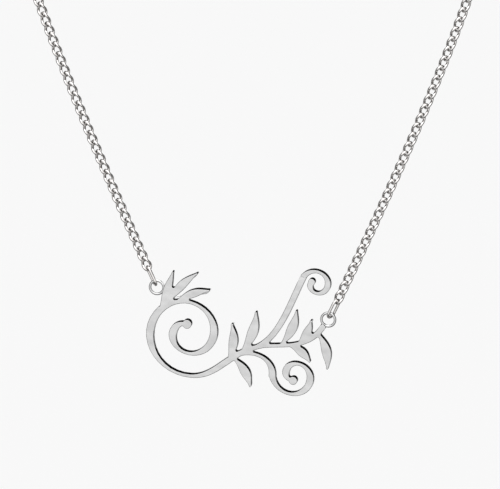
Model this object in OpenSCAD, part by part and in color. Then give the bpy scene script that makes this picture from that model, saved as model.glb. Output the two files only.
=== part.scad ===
// Pierced nameplate necklace as it hangs when worn: a cut silver plate with two soldered eye
// rings, hung by oval links from a curb chain that closes behind the neck with a spring ring.
// X runs to the viewer's right, the plate's front faces -Y, Z is up, and the origin is the nape.

/* [Plate] */
// Width of the cut plate without its eye rings
plate_w = 31.5; // [30:0.5:33]
// Thickness of the plate
plate_t = 1.2; // [0.8:0.1:2]
// Width of the plate's thin strokes
thin_stroke = 0.5; // [0.4:0.05:0.7]
// Width of the plate's thickest strokes
thick_stroke = 1.3; // [1.1:0.05:1.5]
// Width of a usual leaf
leaf_w = 1.5; // [1.2:0.05:1.7]
// Slant of the pen that swells the strokes, in degrees
pen_slant = 68; // [50:80]
// Radius in the inner corners between strokes
corner_r = 0.2; // [0.1:0.05:0.25]
// Distance from the nape forward to the middle of the plate
plate_reach = 98; // [96:0.5:100]
// Drop from the nape to the middle between the eye rings
plate_drop = 106; // [104:0.5:108]
// How far that middle lies to the viewer's left of the nape
plate_left = 1.3; // [0:0.1:3]
// How far the plate hangs turned in its own plane, in degrees
plate_tilt = 3; // [0:0.5:5]

/* [Eye rings] */
// Radius of an eye ring, to the middle of its wire
eye_r = 1.12; // [1.08:0.01:1.2]
// Wire of an eye ring
eye_wire = 0.42; // [0.36:0.01:0.45]
// Play left between an eye ring and its oval link, room for the plate to swing
eye_play = 0.23; // [0.2:0.01:0.26]

/* [Oval links] */
// Outer length of an oval link
oval_length = 3.7; // [3.4:0.1:4]
// Outer width of an oval link
oval_w = 1.95; // [1.9:0.05:2.1]
// Wire of an oval link
oval_wire = 0.45; // [0.35:0.01:0.5]
// Roll of an oval link about the chain's line, in degrees
oval_roll = 62; // [61:66]

/* [Chain] */
// Outer width of a curb link
link_w = 1.63; // [1.62:0.01:1.66]
// Wire of a curb link
link_wire = 0.43; // [0.38:0.01:0.43]
// Play left between two linked wires
play = 0.13; // [0.12:0.01:0.16]

/* [Clasp] */
// Radius of the spring ring, to the middle of its tube
spring_r = 2.3; // [2:0.1:2.6]
// Tube of the spring ring
spring_tube = 0.9; // [0.7:0.05:1]
// Radius of the eye on the spring ring, to the middle of its wire
spring_eye_r = 0.95; // [0.9:0.05:1.1]
// Radius of the two jump rings at the clasp, to the middle of their wire
jump_r = 1.3; // [1.2:0.05:1.5]
// Wire of the two jump rings and of the eye on the spring ring
jump_wire = 0.5; // [0.4:0.05:0.5]

/* [Hidden] */
silver = "silver";
up = [0, 0, 1];

// the plate's own plane: origin midway between the eye rings
plate_mid = [-plate_left, -plate_reach, -plate_drop];
stroke_steps = 22; // pieces along one stroke
turn_steps = 38; // pieces along one turn of a scroll

// places and lengths in these tables are shares of the plate's width

// scrolls: centre, inner radius, outer radius, angle of the outer end, turns,
// hand (1 turns counter-clockwise outwards), thickness as a share of the thickest stroke
SCROLLS = [
    [[-0.295, -0.152], 0.048, 0.229, 270, 1.5, 1, 1],
    [[0.397, 0.102], 0.029, 0.079, 150, 1, 1, 0.77],
    [[0.254, -0.381], 0.029, 0.117, 180, 1.2, -1, 0.92],
];
// stems: start, its handle, handle of the end, end, thickness share
STEMS = [
    [[-0.295, -0.381], [-0.156, -0.394], [-0.083, -0.251], [0.083, -0.225], 0.96],
    [[0.083, -0.225], [0.19, -0.21], [0.324, -0.251], [0.416, -0.124], 0.77],
    [[-0.019, -0.263], [0.07, -0.251], [0.146, -0.298], [0.137, -0.381], 0.92],
    [[0.051, -0.232], [0.178, -0.197], [0.251, 0], [0.329, 0.141], 0.8],
];
// leaves: foot, direction of the tip, length, bow to the left, width as a share of a usual leaf
LEAVES = [
    [[-0.435, -0.029], 68, 0.219, -0.003, 0.87],
    [[-0.4, -0.003], 44, 0.241, 0.019, 0.93],
    [[-0.349, 0.013], 19, 0.19, 0.016, 0.87],
    [[-0.095, -0.308], 80, 0.203, -0.025, 1],
    [[-0.025, -0.26], 66, 0.235, -0.029, 1.13],
    [[0.187, -0.219], 62, 0.203, -0.025, 1.07],
    [[0.273, -0.219], 57, 0.152, -0.019, 0.93],
    [[-0.063, -0.286], -62, 0.171, 0.022, 1],
    [[0.235, -0.222], -40, 0.133, 0.019, 0.93],
    [[0.387, -0.152], -78, 0.197, 0.025, 1],
];
// eye rings, left and right: where the ring's wire meets the plate, and the way to its middle
EYES = [
    [[-0.412, 0.077], 158],
    [[0.423, -0.115], 52],
];
leaf_tip = 0.2; // width of a leaf's foot and tip, as a share of its own
leaf_lean = 1.15; // power that moves its widest place from the middle towards the tip
leaf_taper = 1.4; // power that thins it towards both ends
terminal = 1.15; // ball on the inner end of a scroll, in that scroll's thickness

// one strand, the right one: the handle of its front, the end of its front, the handle before
// the side of the neck, the side, the handle after it, and the handle before the fastening
NECK_ROUTE = [
    [27.5, -plate_reach, -77],
    [35.2, -plate_reach, -55],
    [52, -76, -26],
    [54, -48, -14],
    [56, -20, -2],
    [32, 0, 0],
];
collar_handle = 26; // length of the handle that leaves the front
curve_steps = 40; // pieces along each of its three curves

// a curb link is a ring twisted so that its end bows lie askew: a bow is one arc, and an arc
// leads from each end of it to the middle of a side wire, where the link is widest
end_twist = 42; // turn of a bow's plane from the flat of the chain
bow_half = 60; // half of the angle of a bow
bow_share = 0.95; // radius of a bow, as a share of half of the link's width between its wires
side_y = (link_w - link_wire) / 2;
bow_r = bow_share * side_y;
bow_end = twisted(bow_r * polar(1, bow_half)); // from the bow's own middle
bow_end_dir = twisted(left_of(polar(1, bow_half)));
side_leg = (side_y - bow_end[1]) / bow_end_dir[1]; // from a side arc's ends to where they aim
side_dip = asin(bow_end_dir[2] + bow_end[2] / side_leg); // slope of a side wire at its middle
side_dir = [-cos(side_dip), 0, -sin(side_dip)];
bow_x = -side_leg * (bow_end_dir[0] + side_dir[0]) - bow_end[0];
link_reach = bow_x + bow_r; // middle of the link to the middle of its end wire
// the six arcs of a link take turns at the full wire and a slightly thinner one, and each thin
// arc runs a little way into the next ones, so that all six join as one solid
lap_step = 0.015; // how much thinner the thin arcs are
lap_turn = 2; // how far they run into the next ones, in degrees
ideal_pitch = 2 * link_reach - link_wire - play;

oval_bow = (oval_w - oval_wire) / 2;
oval_reach = (oval_length - oval_wire) / 2;
// along a strand, from the middle of its eye ring
oval_start = eye_r - (eye_wire + oval_wire) / 2 - eye_play;
oval_mid = oval_start + oval_reach;
first_link = oval_mid + oval_reach - (oval_wire + link_wire) / 2 - play + link_reach;

// along the back of the neck, from the end wire of the left chain
askew_play = 0.05; // added where wires cross askew
hook_play = play + askew_play;
end_ring_x = jump_r - (link_wire + jump_wire) / 2 - play;
spring_x = end_ring_x + jump_r - (jump_wire + spring_tube) / 2 - hook_play + spring_r;
solder = 0.1; // depth of the eye's wire in the spring ring's tube
spring_eye_x = spring_x + spring_r + (spring_tube + jump_wire) / 2 - solder + spring_eye_r;
clasp_ring_x = spring_eye_x + spring_eye_r - jump_wire - hook_play + jump_r;
clasp_span = clasp_ring_x + end_ring_x;

function unit(v) = v / norm(v);
function polar(r, a) = [r * cos(a), r * sin(a)];
function left_of(d) = [-d[1], d[0]];
function turned(p, a) = p[0] * polar(1, a) + p[1] * left_of(polar(1, a));
function twisted(p) = [p[0], p[1] * cos(end_twist), p[1] * sin(end_twist)];
function bezier(p, t) = let (s = 1 - t)
    s * s * s * p[0] + 3 * s * s * t * p[1] + 3 * s * t * t * p[2] + t * t * t * p[3];
function bezier_dir(p, t) = let (s = 1 - t)
    unit(s * s * (p[1] - p[0]) + 2 * s * t * (p[2] - p[1]) + t * t * (p[3] - p[2]));
function pen_width(share, dir) =
    thin_stroke + (share * thick_stroke - thin_stroke) * pow(dir * polar(1, pen_slant), 2);
function mirrored(p, hand) = [hand * p[0], p[1], p[2]];

// strands, hand -1 is the left one and 1 the right one
function eye(hand) = let (row = EYES[(hand + 1) / 2],
    middle = turned(row[0] * plate_w + polar(eye_r, row[1]), plate_tilt))
    plate_mid + [middle[0], 0, middle[1]];
function front_dir(hand) = unit(mirrored(NECK_ROUTE[0], hand) - eye(hand));
// the front has one handle, so each end of its curve is drawn a third of the way back from it
function curves(hand) = let (
    p = [for (point = NECK_ROUTE) mirrored(point, hand)],
    clasp_end = [hand * clasp_span / 2, 0, 0])
    [[eye(hand), p[0] + (eye(hand) - p[0]) / 3, p[0] + (p[1] - p[0]) / 3, p[1]],
    [p[1], p[1] + collar_handle * unit(p[1] - p[0]), p[2], p[3]],
    [p[3], p[4], p[5], clasp_end]];
function route(hand) = concat([eye(hand)],
    [for (curve = curves(hand)) for (i = [1 : curve_steps]) bezier(curve, i / curve_steps)]);
function distances(points, i = 0, so_far = 0) = i == len(points) - 1 ? [so_far]
    : concat([so_far], distances(points, i + 1, so_far + norm(points[i + 1] - points[i])));
// the place at a distance along the route
function place(points, marks, s, axis) =
    lookup(s, [for (i = [0 : len(marks) - 1]) [marks[i], points[i][axis]]]);
function spot(points, marks, s) = [for (axis = [0 : 2]) place(points, marks, s, axis)];

// turned so that local x runs along the strand and local z looks away from the neck
module along(dir, hand) {
    out = -hand * unit(cross(up, dir));
    across = cross(out, dir);
    multmatrix([for (i = [0 : 2]) [dir[i], across[i], out[i], 0]]) children();
}

// a wire ring, or a piece of one, in the local xy plane from the local x axis on
module wire_arc(r, wire, angle = 360) {
    rotate_extrude(angle = angle, $fn = 64) translate([r, 0]) circle(d = wire, $fn = 24);
}

// the line of a stroke with a width at each point, and round ends
module ribbon(line, dirs, widths) {
    last = len(line) - 1;
    polygon(concat(
        [for (i = [0 : last]) line[i] + left_of(dirs[i]) * widths[i] / 2],
        [for (i = [last : -1 : 0]) line[i] - left_of(dirs[i]) * widths[i] / 2]));
    for (i = [0, last]) translate(line[i]) circle(d = widths[i], $fn = 16);
}

module stem(row) {
    handles = plate_w * [row[0], row[1], row[2], row[3]];
    t = [for (i = [0 : stroke_steps]) i / stroke_steps];
    dirs = [for (k = t) bezier_dir(handles, k)];
    ribbon([for (k = t) bezier(handles, k)], dirs, [for (d = dirs) pen_width(row[4], d)]);
}

module scroll(row) {
    centre = row[0] * plate_w;
    inner = row[1] * plate_w;
    growth = row[2] * plate_w - inner;
    turns = row[4];
    hand = row[5];
    steps = round(turn_steps * turns);
    t = [for (i = [0 : steps]) i / steps];
    spokes = [for (k = t) polar(inner + growth * k, row[3] - hand * (1 - k) * turns * 360)];
    dirs = [for (p = spokes) unit(unit(p) * growth / (2 * PI * turns) + hand * left_of(p))];
    ribbon([for (p = spokes) centre + p], dirs, [for (d = dirs) pen_width(row[6], d)]);
    translate(centre + spokes[0]) circle(d = terminal * row[6] * thick_stroke, $fn = 24);
}

module leaf(row) {
    foot = row[0] * plate_w;
    reach = row[2] * plate_w * polar(1, row[1]);
    bow = row[3] * plate_w * left_of(polar(1, row[1]));
    handles = [foot, foot + reach / 3 + bow, foot + reach * 2 / 3 + bow, foot + reach];
    width = row[4] * leaf_w;
    t = [for (i = [0 : stroke_steps]) i / stroke_steps];
    belly = [for (k = t) pow(sin(180 * pow(k, leaf_lean)), leaf_taper)];
    ribbon([for (k = t) bezier(handles, k)], [for (k = t) bezier_dir(handles, k)],
        [for (b = belly) width * (leaf_tip + (1 - leaf_tip) * b)]);
}

module flourish() {
    offset(r = -corner_r, $fn = 24) offset(delta = corner_r) {
        for (row = SCROLLS) scroll(row);
        for (row = STEMS) stem(row);
        for (row = LEAVES) leaf(row);
    }
}

module name_plate() {
    color(silver) {
        translate(plate_mid + [0, plate_t / 2, 0]) rotate([90, 0, 0])
            linear_extrude(plate_t) rotate(plate_tilt) flourish();
        for (hand = [-1, 1]) translate(eye(hand)) rotate([90, 0, 0]) wire_arc(eye_r, eye_wire);
    }
}

// oval link, lengthwise along local x, its bows in the plane turned by the roll
module oval_link(hand) {
    color(silver) translate(eye(hand) + oval_mid * front_dir(hand))
        along(front_dir(hand), hand) rotate([hand * oval_roll, 0, 0])
            for (turn = [0, 180]) rotate([0, 0, turn]) {
                translate([oval_reach - oval_bow, 0, 0]) rotate([0, 0, -90])
                    wire_arc(oval_bow, oval_wire, 180);
                translate([oval_bow - oval_reach, oval_bow, 0]) rotate([0, 90, 0])
                    cylinder(h = 2 * (oval_reach - oval_bow), d = oval_wire, $fn = 24);
            }
}

module link_bow(wire, lap) {
    translate([bow_x, 0, 0]) rotate([end_twist, 0, 0]) rotate([0, 0, -bow_half - lap])
        wire_arc(bow_r, wire, 2 * (bow_half + lap));
}

// half of a side wire, from the end of a bow to the middle of the link
module link_side(wire, lap) {
    turn = acos(bow_end_dir * side_dir);
    inward = unit(side_dir - (bow_end_dir * side_dir) * bow_end_dir);
    across = cross(bow_end_dir, inward);
    radius = side_leg / tan(turn / 2);
    middle = [bow_x, 0, 0] + bow_end + radius * inward;
    multmatrix([for (i = [0 : 2]) [-inward[i], bow_end_dir[i], across[i], middle[i]]])
        rotate([0, 0, -lap]) wire_arc(radius, wire, turn + 2 * lap);
}

module curb_link() {
    thin_wire = link_wire - lap_step;
    link_bow(link_wire, 0);
    link_side(thin_wire, lap_turn);
    rotate([180, 0, 0]) link_side(thin_wire, lap_turn);
    rotate([0, 180, 0]) link_bow(thin_wire, lap_turn);
    rotate([0, 180, 0]) link_side(link_wire, 0);
    rotate([0, 0, 180]) link_side(link_wire, 0);
}

module strand(hand) {
    points = route(hand);
    marks = distances(points);
    run = marks[len(marks) - 1] - link_reach - first_link;
    links = ceil(run / ideal_pitch);
    for (i = [0 : links]) {
        s = first_link + i * run / links;
        half = ideal_pitch / 2;
        dir = unit(spot(points, marks, s + half) - spot(points, marks, s - half));
        translate(spot(points, marks, s)) along(dir, hand) scale([1, 1, hand]) curb_link();
    }
}

module jump_ring(x, hand) {
    color(silver) translate([x, 0, 0]) along([hand, 0, 0], hand)
        rotate([hand * (90 - end_twist), 0, 0]) wire_arc(jump_r, jump_wire);
}

module left_oval_link() { oval_link(-1); }
module right_oval_link() { oval_link(1); }
module chain_left() { color(silver) strand(-1); }
module chain_right() { color(silver) strand(1); }
module end_jump_ring() { jump_ring(end_ring_x - clasp_span / 2, 1); }
module clasp_jump_ring() { jump_ring(clasp_ring_x - clasp_span / 2, -1); }
module spring_ring_clasp() {
    color(silver) {
        translate([spring_x - clasp_span / 2, 0, 0]) rotate([90, 0, 0])
            wire_arc(spring_r, spring_tube);
        translate([spring_eye_x - clasp_span / 2, 0, 0]) rotate([90, 0, 0])
            wire_arc(spring_eye_r, jump_wire);
    }
}

name_plate();
left_oval_link();
right_oval_link();
chain_left();
chain_right();
spring_ring_clasp();
clasp_jump_ring();
end_jump_ring();
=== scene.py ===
# %% [markdown]
# # A cut silver necklace, dressed in Blender
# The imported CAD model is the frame: every piece already has its true place and size, in metres, with
# the nape of the neck at the origin, Z up and the front of the plate facing -Y. The CAD pieces are
# exact but bare. This lesson gives them what a jeweller's bench gives the real ones: worn edges on
# the cut plate, chain wire that is round and light enough to render, and silver that looks like
# silver because of what it reflects.

# %% Load the frame
import bisect
import math

import bmesh
import bpy
from mathutils import Matrix, Quaternion, Vector


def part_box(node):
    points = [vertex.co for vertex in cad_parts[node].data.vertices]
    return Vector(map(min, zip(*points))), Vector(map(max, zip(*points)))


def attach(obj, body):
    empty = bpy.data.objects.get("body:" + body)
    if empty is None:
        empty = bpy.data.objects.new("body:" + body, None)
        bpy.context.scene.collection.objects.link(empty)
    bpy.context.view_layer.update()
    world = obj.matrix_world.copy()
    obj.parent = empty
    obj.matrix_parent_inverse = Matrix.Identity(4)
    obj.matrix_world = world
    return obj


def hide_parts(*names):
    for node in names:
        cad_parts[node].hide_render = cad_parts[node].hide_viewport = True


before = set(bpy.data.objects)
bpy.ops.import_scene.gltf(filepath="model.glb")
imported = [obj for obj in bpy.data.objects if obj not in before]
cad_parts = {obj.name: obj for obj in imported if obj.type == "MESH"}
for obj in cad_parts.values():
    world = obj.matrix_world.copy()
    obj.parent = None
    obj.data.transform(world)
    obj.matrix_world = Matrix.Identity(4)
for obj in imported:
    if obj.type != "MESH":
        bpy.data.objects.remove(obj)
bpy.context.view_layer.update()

MM = 0.001
UP = Vector((0, 0, 1))


# %% [markdown]
# ## A small kit for materials
# Colours are written as the sRGB hex codes that a paint program shows, but shader nodes work in
# linear light, so one function converts them. A second function adds a node, sets its options and
# fills or links its sockets, which keeps each material down to the few lines that matter.

# %% Colours and nodes
def linear(code):
    """A hex colour such as #C0C0C0 as the linear red, green, blue and alpha of a node socket."""
    shares = [int(code[i:i + 2], 16) / 255 for i in (1, 3, 5)]
    return [s / 12.92 if s <= 0.04045 else ((s + 0.055) / 1.055) ** 2.4 for s in shares] + [1]


def add(tree, kind, sockets=None, **options):
    """Adds a node; a socket takes a value, or another node's output, which is linked to it."""
    node = tree.nodes.new(kind)
    for name, value in options.items():
        setattr(node, name, value)
    for name, value in (sockets or {}).items():
        if isinstance(value, bpy.types.NodeSocket):
            tree.links.new(value, node.inputs[name])
        else:
            node.inputs[name].default_value = value
    return node


def metal(name, code, roughness):
    """A new Principled metal, with its tree and its shader for the cells that go on with it."""
    material = bpy.data.materials.new(name)
    material.use_nodes = True
    shader = material.node_tree.nodes["Principled BSDF"]
    shader.inputs["Base Color"].default_value = linear(code)
    shader.inputs["Metallic"].default_value = 1
    shader.inputs["Roughness"].default_value = roughness
    return material, material.node_tree, shader


print("mid grey in linear light:", round(linear("#808080")[0], 3))

# %% [markdown]
# ## The silver
# The plate is sterling silver with a thin bright plating of rhodium, which is a little greyer than
# bare silver. Two finishes come out of the workshop. The plate's front and back are lapped on a fine
# abrasive, which leaves a soft sheen with no mirror image in it. Its cut walls, the rings and the
# chain are tumbled and buffed to a bright polish. The chain's wire is bare silver, a touch lighter
# and warmer than the plate.

# %% Lapped face of the plate
RHODIUM = "#E2E2E2"
LAPPING_LINE = 0.12 * MM  # the real grit leaves lines about 0.02 mm apart, drawn coarser to show
LINE_DEPTH = 0.004 * MM
LINE_LENGTH = 0.08  # scale along X, which makes a line about 12 times as long as it is wide
CLOUD = 4 * MM  # lapping by hand leaves faint clouds and waves a few millimetres wide
WAVE_DEPTH = 0.25 * MM  # drawn deeper than the real waves, to show
SHEEN = (0.24, 0.36)  # roughness from the smoothest cloud to the roughest

lapped_silver, tree, shader = metal("lapped rhodium silver", RHODIUM, 0.3)
place = add(tree, "ShaderNodeTexCoord").outputs["Object"]
stretched = add(tree, "ShaderNodeMapping", {"Vector": place, "Scale": (LINE_LENGTH, 1, 1)})
lines = add(tree, "ShaderNodeTexNoise", {
    "Vector": stretched.outputs["Vector"], "Scale": 1 / LAPPING_LINE, "Detail": 3})
clouds = add(tree, "ShaderNodeTexNoise", {"Vector": place, "Scale": 1 / CLOUD, "Detail": 2})
sheen = add(tree, "ShaderNodeMapRange", {
    "Value": clouds.outputs["Fac"], "From Min": 0.3, "From Max": 0.7,
    "To Min": SHEEN[0], "To Max": SHEEN[1]})
waves = add(tree, "ShaderNodeBump", {
    "Height": clouds.outputs["Fac"], "Strength": 1, "Distance": WAVE_DEPTH})
relief = add(tree, "ShaderNodeBump", {
    "Height": lines.outputs["Fac"], "Strength": 0.25, "Distance": LINE_DEPTH,
    "Normal": waves.outputs["Normal"]})
tree.links.new(sheen.outputs["Result"], shader.inputs["Roughness"])
tree.links.new(relief.outputs["Normal"], shader.inputs["Normal"])
print(lapped_silver.name, "nodes:", len(tree.nodes))

# %% Polished walls and wire
DIMPLE = 0.5 * MM  # tumbling with steel shot leaves shallow dimples about this wide
DIMPLE_DEPTH = 0.01 * MM


def polished(name, code, roughness):
    """Tumbled and buffed silver with shallow dimples that break up its reflections."""
    material, tree, shader = metal(name, code, roughness)
    place = add(tree, "ShaderNodeTexCoord").outputs["Object"]
    dimples = add(tree, "ShaderNodeTexNoise", {"Vector": place, "Scale": 1 / DIMPLE, "Detail": 1})
    relief = add(tree, "ShaderNodeBump", {
        "Height": dimples.outputs["Fac"], "Strength": 0.3, "Distance": DIMPLE_DEPTH})
    tree.links.new(relief.outputs["Normal"], shader.inputs["Normal"])
    return material


polished_wall = polished("polished silver wall", "#D8D8D8", 0.08)
polished_wire = polished("polished silver wire", "#F4F1EF", 0.12)
print(polished_wall.name, "and", polished_wire.name)

# %% [markdown]
# Shade falls where two wires cross or a wall ends in a corner, and here that shade is painted into
# the metal's colour. An Ambient Occlusion node tells how enclosed each point of the surface is, so the
# painted shade settles in the crossings by itself, link for link.

# %% Painted shade in corners and crossings
# painted shade: the dark colour that the metal turns to where it is enclosed, in place of the shade
# that falls there
RECESS_SHADE = "#261F1A"
RECESS = 0.45 * MM  # a point is enclosed by metal nearer than this
ALL_DARK, ALL_UNSHADED = 0.2, 0.6  # openness of the darkest points, and of those that are bright again
DARK_SOCKET, UNSHADED_SOCKET, COLOUR_OUTPUT = 6, 7, 2  # a Mix node's colour sockets share their names

for material in (polished_wall, polished_wire):
    tree = material.node_tree
    shader = tree.nodes["Principled BSDF"]
    openness = add(tree, "ShaderNodeAmbientOcclusion", {"Distance": RECESS}, samples=8)
    unshaded = add(tree, "ShaderNodeMapRange", {
        "Value": openness.outputs["AO"], "From Min": ALL_DARK, "From Max": ALL_UNSHADED})
    # the base colour darkens towards the painted shade as the surface gets more enclosed
    colour = add(tree, "ShaderNodeMix", {"Factor": unshaded.outputs["Result"]}, data_type="RGBA")
    colour.inputs[DARK_SOCKET].default_value = linear(RECESS_SHADE)
    colour.inputs[UNSHADED_SOCKET].default_value = shader.inputs["Base Color"].default_value
    tree.links.new(colour.outputs[COLOUR_OUTPUT], shader.inputs["Base Color"])
    print("painted_shade in:", material.name)

# %% [markdown]
# ## The cut plate
# The plate is sawn from sheet and then tumbled, so its rims are faintly rounded. CAD gives the plate
# with knife-sharp rims, which catch no light and look like paper. Beveling the long outline edge by
# edge would fight with the hundreds of short edges in it. Insetting each flat face as one region does
# the same work: the face sinks by the rim's radius, and two insets step it up again along a quarter
# round. The CAD mesh is loose triangles, so the work starts on a merged copy.

# %% Round the rims of the plate
RIM = 0.1 * MM
SHARP = math.radians(35)  # edges that turn more than this stay crisp
HAIR = 0.01 * MM  # how near a flat face lies to the plate's front or back
SQUARE_ON = 0.999  # share of its normal that points straight out
EIGHTH = math.pi / 4  # the quarter round is made in two steps of an eighth of a turn

bm = bmesh.new()
bm.from_mesh(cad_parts["name_plate"].data)
bmesh.ops.remove_doubles(bm, verts=bm.verts, dist=0.001 * MM)
low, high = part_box("name_plate")
flats = set()
for side, level in ((-1, low.y), (1, high.y)):
    flat = [f for f in bm.faces if f.normal.y * side > SQUARE_ON
            and abs(f.calc_center_median().y - level) < HAIR]
    verts = list({v for f in flat for v in f.verts})
    bmesh.ops.translate(bm, verts=verts, vec=(0, -side * RIM, 0))
    for out, rise in ((1 - math.cos(EIGHTH), math.sin(EIGHTH)),
                      (math.cos(EIGHTH), 1 - math.sin(EIGHTH))):
        bmesh.ops.inset_region(
            bm, faces=flat, thickness=out * RIM, depth=rise * RIM, use_even_offset=True)
    flats.update(flat)
for face in bm.faces:
    face.smooth = face not in flats
    face.material_index = 1 if face.smooth else 0
for edge in bm.edges:
    edge.smooth = len(edge.link_faces) == 2 and edge.calc_face_angle() < SHARP
print("plate:", len(bm.faces), "faces,", len(flats), "of them flat")

# %% [markdown]
# A finished piece sits at the origin with its place in its mesh, rides on a CAD body, takes its
# materials, and hides the CAD node that it stands for.

# %% Finish a piece
def finish_piece(bm, name, body, node, materials):
    """Turns the mesh into an object that replaces a CAD node."""
    mesh = bpy.data.meshes.new(name)
    bm.to_mesh(mesh)
    bm.free()
    for material in materials:
        mesh.materials.append(material)
    piece = bpy.data.objects.new(name, mesh)
    bpy.context.scene.collection.objects.link(piece)
    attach(piece, body)
    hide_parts(node)
    return piece


plate = finish_piece(
    bm, "cut_plate", "plate", "name_plate", [lapped_silver, polished_wall])
print(plate.name, "size in mm:", [round(c / MM, 2) for c in plate.dimensions])

# %% [markdown]
# ## One link of curb chain
# A curb link is a ring of wire that was twisted until the chain lies flat, so that its end bows stand
# askew and its sides bulge. A closed Bezier curve of four points has just this shape: one point at each
# end and one at the middle of each side, with handles along the wire. The handle of an end leans out of
# the chain's flat by the twist. The curve's bevel makes a wire with a square section of it, 64 faces in
# all, which Subdivision Surface rounds. Rounding pulls the bows inwards, so the curve's ends lie a
# little further out than those of the link.

# %% Sizes of the chain, as in the CAD source
LINK_W = 1.63 * MM
LINK_WIRE = 0.43 * MM
LINK_REACH = 1.1476 * MM  # middle of the link to the middle of its end wire
END_TWIST = math.radians(42)
PLAY = 0.13 * MM
IDEAL_PITCH = 2 * LINK_REACH - LINK_WIRE - PLAY
print("ideal pitch in mm:", round(IDEAL_PITCH / MM, 3))

# %% Bend the link
END_SWELL = 1.06  # the curve's reach over the link's
END_HANDLE = 0.57 * MM
SIDE_HANDLE = 0.73 * MM
SIDE_SLOPE = math.radians(73)  # slope of a side's wire at its middle
SQUARE = 1.56  # corner of the square section over the radius of the round wire that it becomes
STEPS_TO_POINT = 4  # from each point of the curve to the next


def curb_link():
    """A link round the origin, lengthwise along x, as a mesh of 64 faces."""
    end = Vector((END_SWELL * LINK_REACH, 0, 0))
    side = Vector((0, (LINK_W - LINK_WIRE) / 2, 0))
    end_handle = END_HANDLE * Vector((0, math.cos(END_TWIST), math.sin(END_TWIST)))
    side_handle = SIDE_HANDLE * Vector((-math.cos(SIDE_SLOPE), 0, -math.sin(SIDE_SLOPE)))
    half_turn = Matrix.Rotation(math.pi, 3, "Z")
    half = ((end, end_handle), (side, side_handle))
    other_half = tuple((half_turn @ middle, half_turn @ handle) for middle, handle in half)
    ring = half + other_half

    curve = bpy.data.curves.new("curb link", "CURVE")
    curve.dimensions = "3D"
    curve.resolution_u = STEPS_TO_POINT
    curve.bevel_depth = SQUARE * LINK_WIRE / 2
    curve.bevel_resolution = 0  # a square section
    spline = curve.splines.new("BEZIER")
    spline.bezier_points.add(len(ring) - 1)  # it comes with one
    spline.use_cyclic_u = True
    for point, (middle, handle) in zip(spline.bezier_points, ring):
        point.co = middle
        point.handle_left = middle - handle
        point.handle_right = middle + handle
    bender = bpy.data.objects.new("curb link", curve)
    mesh = bpy.data.meshes.new_from_object(bender)
    bpy.data.objects.remove(bender)
    return mesh


link = curb_link()
print("link:", len(link.vertices), "vertices,", len(link.polygons), "faces")

# %% [markdown]
# ## The two strands
# The links follow the route that the CAD source lays: in a slight curve from the eye ring up the
# chest, then round the neck in two more curves to the fastening. The same few points are written
# here again, and the frame gives both ends: each eye ring lies in line with its oval link, and the
# last wire of each strand hangs in a jump ring. Each link is set by its distance along the route. It
# points along the chain and its flat side looks away from the neck. The left strand's links are the
# mirror image of the right strand's.

# %% Ends of the strands
HANDS = {"left": -1, "right": 1}  # the viewer's left and right
OVAL_WIRE = 0.45 * MM
OVAL_REACH = 1.625 * MM  # middle of an oval link to the middle of its end wire
EYE_TO_OVAL = 2.08 * MM  # middle of an eye ring to the middle of its oval link
FIRST_LINK = EYE_TO_OVAL + OVAL_REACH - (OVAL_WIRE + LINK_WIRE) / 2 - PLAY + LINK_REACH
JUMP_WIRE = 0.5 * MM
HALF_CLASP = -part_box("end_jump_ring")[0].x - JUMP_WIRE - PLAY - LINK_WIRE / 2


def eye_middle(side, handle):
    """The middle of an eye ring, in line with its oval link and the route's first handle."""
    low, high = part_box(f"{side}_oval_link")
    oval = (low + high) / 2
    return oval + EYE_TO_OVAL * (oval - handle).normalized()


print("first link in mm from its eye ring:", round(FIRST_LINK / MM, 4))
print("gap that the fastening fills in mm:", round(2 * HALF_CLASP / MM, 4))

# %% The route, as in the CAD source
NECK_ROUTE = (
    (27.5, -98, -77), (35.2, -98, -55), (52, -76, -26), (54, -48, -14), (56, -20, -2), (32, 0, 0))
COLLAR_HANDLE = 26 * MM
CURVE_STEPS = 40


def bezier(p, t):
    """The point at share t of the curve with the four points p."""
    s = 1 - t
    return s ** 3 * p[0] + 3 * s * s * t * p[1] + 3 * s * t * t * p[2] + t ** 3 * p[3]


def route(side):
    """Points along one strand, from the middle of its eye ring to its last wire."""
    p = [Vector((HANDS[side] * x, y, z)) * MM for x, y, z in NECK_ROUTE]
    eye = eye_middle(side, p[0])
    last_wire = Vector((HANDS[side] * HALF_CLASP, 0, 0))
    curves = ((eye, p[0] + (eye - p[0]) / 3, p[0] + (p[1] - p[0]) / 3, p[1]),
              (p[1], p[1] + COLLAR_HANDLE * (p[1] - p[0]).normalized(), p[2], p[3]),
              (p[3], p[4], p[5], last_wire))
    steps = [i / CURVE_STEPS for i in range(1, CURVE_STEPS + 1)]
    return [eye] + [bezier(curve, t) for curve in curves for t in steps]


print("points along a strand:", len(route("left")))


# %% Places of the links
def link_places(side):
    """One matrix for each link of a strand."""
    hand = HANDS[side]
    points = route(side)
    marks = [0]
    for a, b in zip(points, points[1:]):
        marks.append(marks[-1] + (b - a).length)

    def spot(s):
        """The point at the distance s along the route."""
        i = min(bisect.bisect_right(marks, s), len(marks) - 1)
        return points[i - 1].lerp(points[i], (s - marks[i - 1]) / (marks[i] - marks[i - 1]))

    run = marks[-1] - LINK_REACH - FIRST_LINK
    gaps = math.ceil(run / IDEAL_PITCH)
    places = []
    for i in range(gaps + 1):
        s = FIRST_LINK + i * run / gaps
        along = (spot(s + IDEAL_PITCH / 2) - spot(s - IDEAL_PITCH / 2)).normalized()
        out = -hand * UP.cross(along).normalized()
        turn = Matrix((along, out.cross(along), hand * out)).transposed().to_4x4()
        places.append(Matrix.Translation(spot(s)) @ turn)
    return places


places = {side: link_places(side) for side in HANDS}
print("links:", {side: len(spots) for side, spots in places.items()})


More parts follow.
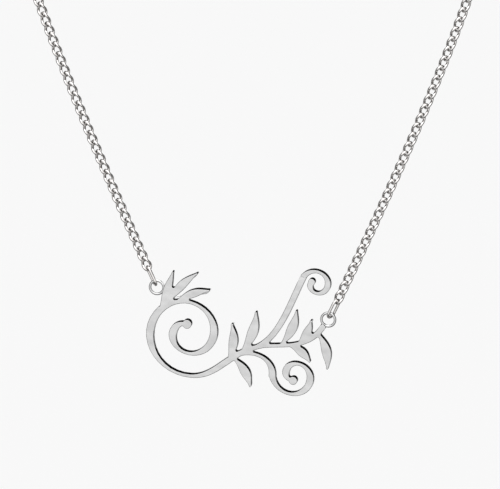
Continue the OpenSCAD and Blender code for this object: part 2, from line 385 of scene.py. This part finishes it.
# %% Lay the links
def off_cad_box(piece, node):
    """How far the sides of a piece's box lie off those of a CAD node's box, in mm along x, y, z."""
    bpy.context.view_layer.update()
    final = piece.evaluated_get(bpy.context.evaluated_depsgraph_get())
    low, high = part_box(node)
    off = []
    for k in range(3):
        reach = [corner[k] for corner in final.bound_box]
        off.append(max(abs(min(reach) - low[k]), abs(max(reach) - high[k])))
    return [round(o / MM, 3) for o in off]


for side, spots in places.items():
    bm = bmesh.new()
    for place in spots:
        bm.from_mesh(link)
        bm.verts.ensure_lookup_table()
        bmesh.ops.transform(bm, matrix=place, verts=bm.verts[-len(link.vertices):])
    bmesh.ops.recalc_face_normals(bm, faces=bm.faces)
    for face in bm.faces:
        face.smooth = True
    strand = finish_piece(
        bm, f"{side}_curb_chain", "chain", f"chain_{side}", [polished_wire])
    round_wire = strand.modifiers.new("round wire", "SUBSURF")
    round_wire.levels = round_wire.render_levels = 1
    print(strand.name, "is off the CAD box by mm:", off_cad_box(strand, f"chain_{side}"))

# %% [markdown]
# ## Rings and fastening
# The oval links, the jump rings and the spring ring already have the right shape in CAD, round wire
# and all, so they stay as they are and only get the polished finish.

# %% Finish of the CAD pieces
for name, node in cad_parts.items():
    if not node.hide_render:
        node.material_slots[0].material = polished_wire
        print("polished:", name)

# %% [markdown]
# ## Camera
# The photo looks at the plate from about 11 degrees to its right and 15 degrees above it. Lines that
# run away from the viewer hardly converge in it, so the lens is long and stands well back. The
# picture leans by a third of a degree.

# %% Camera
AZIMUTH, ELEVATION = math.radians(11), math.radians(15)
ROLL = math.radians(-0.3)
LENS = 600
SENSOR = 36
FRAME_WIDTH = 80.9 * MM  # what the picture's width takes in at the plate
STAND_OFF = FRAME_WIDTH * LENS / SENSOR
AIM = Vector((0, -98, -96)) * MM

camera_data = bpy.data.cameras.new("camera")
camera_data.lens = LENS
camera_data.sensor_width = SENSOR
camera = bpy.data.objects.new("camera", camera_data)
bpy.context.scene.collection.objects.link(camera)
bpy.context.scene.camera = camera
back = Vector((math.sin(AZIMUTH) * math.cos(ELEVATION), -math.cos(AZIMUTH) * math.cos(ELEVATION),
               math.sin(ELEVATION)))
camera.location = AIM + back * STAND_OFF
level = (-back).to_track_quat("-Z", "Y")
camera.rotation_euler = (level @ Quaternion((0, 0, 1), ROLL)).to_euler()
print("camera stands off by mm:", round(STAND_OFF / MM))

# %% [markdown]
# ## Floor and light
# Polished metal has no look of its own: it shows its surroundings. A jewellery photographer stands
# pale paper in front of the piece, where its flat faces look, hangs the light above, and leaves the
# studio behind the piece dark. The upper walls of the plate look into that dark and turn black, and
# so does the rim of each wire. Dark flags to the left and right give the wire its dark edges there.
# Here the world does that work by a ray's direction, but only for reflections: the camera and the
# floor see an even pale studio. The floor is one pale sheet far below, so that no shadow falls into
# the picture.

# %% Bands of light for reflections
PAPER = 0.94  # what the camera sees where there is no floor, the same as the lit floor
# each band's elevation in degrees, and its brightness
IN_FRONT = (
    (-90, 0.1), (-50, 0.1), (-30, 0.66), (-15, 0.9), (0, 1.18), (38, 1.2), (48, 2.0), (90, 2.3))
BEHIND = (
    (-90, 0.1), (-46, 0.1), (-34, 0.42), (-4, 0.42), (1, 0.004), (56, 0.004), (64, 2.0), (90, 2.2))
SEAM = 0.2  # half of the depth over which the front bands pass into those behind
FLAG_EDGE = (0.64, 0.76)  # how far to the side a ray points where a flag begins, and is full
FLAG_SHADE = 0.33  # what a flag leaves of the light

scene = bpy.context.scene
scene.view_settings.view_transform = "Standard"
world = bpy.data.worlds.new("pale studio")
scene.world = world
world.use_nodes = True
tree = world.node_tree
direction = add(tree, "ShaderNodeTexCoord").outputs["Generated"]
way = add(tree, "ShaderNodeSeparateXYZ", {"Vector": direction})
height = add(tree, "ShaderNodeMapRange", {"Value": way.outputs["Z"], "From Min": -1, "From Max": 1})


def ramp(bands):
    """Brightness by height, as a colour ramp."""
    node = add(tree, "ShaderNodeValToRGB", {"Fac": height.outputs["Result"]})
    points = node.color_ramp.elements
    while len(points) < len(bands):
        points.new(0.5)
    for point, (elevation, brightness) in zip(points, bands):
        point.position = (1 + math.sin(math.radians(elevation))) / 2
        point.color = (brightness, brightness, brightness, 1)
    return node.outputs["Color"]


print("bands in front:", len(IN_FRONT), "and behind:", len(BEHIND))

# %% Join the bands in the world
rear = add(tree, "ShaderNodeMapRange", {
    "Value": way.outputs["Y"], "From Min": -SEAM, "From Max": SEAM})
around = add(tree, "ShaderNodeMix", {
    "Factor": rear.outputs["Result"], "A": ramp(IN_FRONT), "B": ramp(BEHIND)}, data_type="FLOAT")
sideways = add(tree, "ShaderNodeMath", {0: way.outputs["X"]}, operation="ABSOLUTE")
flags = add(tree, "ShaderNodeMapRange", {
    "Value": sideways.outputs[0], "From Min": FLAG_EDGE[0], "From Max": FLAG_EDGE[1],
    "To Min": 1, "To Max": FLAG_SHADE})
studio = add(tree, "ShaderNodeMath", {
    0: around.outputs["Result"], 1: flags.outputs["Result"]}, operation="MULTIPLY")
path = add(tree, "ShaderNodeLightPath").outputs
even = add(tree, "ShaderNodeMapRange", {"Value": path["Is Camera Ray"], "To Min": 1, "To Max": PAPER})
mix = add(tree, "ShaderNodeMix", {
    "Factor": path["Is Glossy Ray"], "A": even.outputs["Result"], "B": studio.outputs[0]},
    data_type="FLOAT")
tree.links.new(mix.outputs["Result"], tree.nodes["Background"].inputs["Strength"])
tree.nodes["Background"].inputs["Color"].default_value = (1, 1, 1, 1)
print(world.name, "nodes:", len(tree.nodes))

# %% [markdown]
# One black card stands behind the plate, a little to the right and below. Only reflections see it,
# and it blackens the walls that look that way.

# %% Floor and card
FLOOR_SIZE = 30
FLOOR_DROP = 0.6
CARD_AZIMUTH, CARD_ELEVATION = math.radians(17), math.radians(-11)  # azimuth from straight behind
CARD_DISTANCE = 0.55
CARD_SIZE = (0.2, 0.22)


def flat_sheet(name, width, depth, code, matrix):
    """A flat sheet of paper or card."""
    bm = bmesh.new()
    bmesh.ops.create_grid(bm, x_segments=1, y_segments=1, size=0.5,
                          matrix=matrix @ Matrix.Diagonal((width, depth, 1, 1)))
    mesh = bpy.data.meshes.new(name)
    bm.to_mesh(mesh)
    bm.free()
    material, _, shader = metal(name, code, 1)
    shader.inputs["Metallic"].default_value = 0
    shader.inputs["Specular IOR Level"].default_value = 0
    mesh.materials.append(material)
    sheet = bpy.data.objects.new(name, mesh)
    scene.collection.objects.link(sheet)
    return sheet


floor = flat_sheet(
    "floor", FLOOR_SIZE, FLOOR_SIZE, "#F8F8F8", Matrix.Translation((0, 0, -FLOOR_DROP)))
floor.visible_glossy = False
way_to_card = Vector((math.sin(CARD_AZIMUTH) * math.cos(CARD_ELEVATION),
                      math.cos(CARD_AZIMUTH) * math.cos(CARD_ELEVATION), math.sin(CARD_ELEVATION)))
facing = (-way_to_card).to_track_quat("Z", "Y").to_matrix().to_4x4()
card = flat_sheet("black_card", *CARD_SIZE, "#050505",
                  Matrix.Translation(AIM + way_to_card * CARD_DISTANCE) @ facing)
card.visible_camera = card.visible_diffuse = card.visible_shadow = False
print(floor.name, "and", card.name)

# %% Soft box
BOX_SIZE = 0.3
BOX_POWER = 0.3
BOX_PLACE = AIM + Vector((0, -0.05, 0.4))

box = bpy.data.lights.new("soft box", "AREA")
box.shape = "SQUARE"
box.size = BOX_SIZE
box.energy = BOX_POWER
soft_box = bpy.data.objects.new("soft box", box)
soft_box.location = BOX_PLACE
scene.collection.objects.link(soft_box)
print("soft box above the plate by mm:", round((BOX_PLACE - AIM).z / MM))
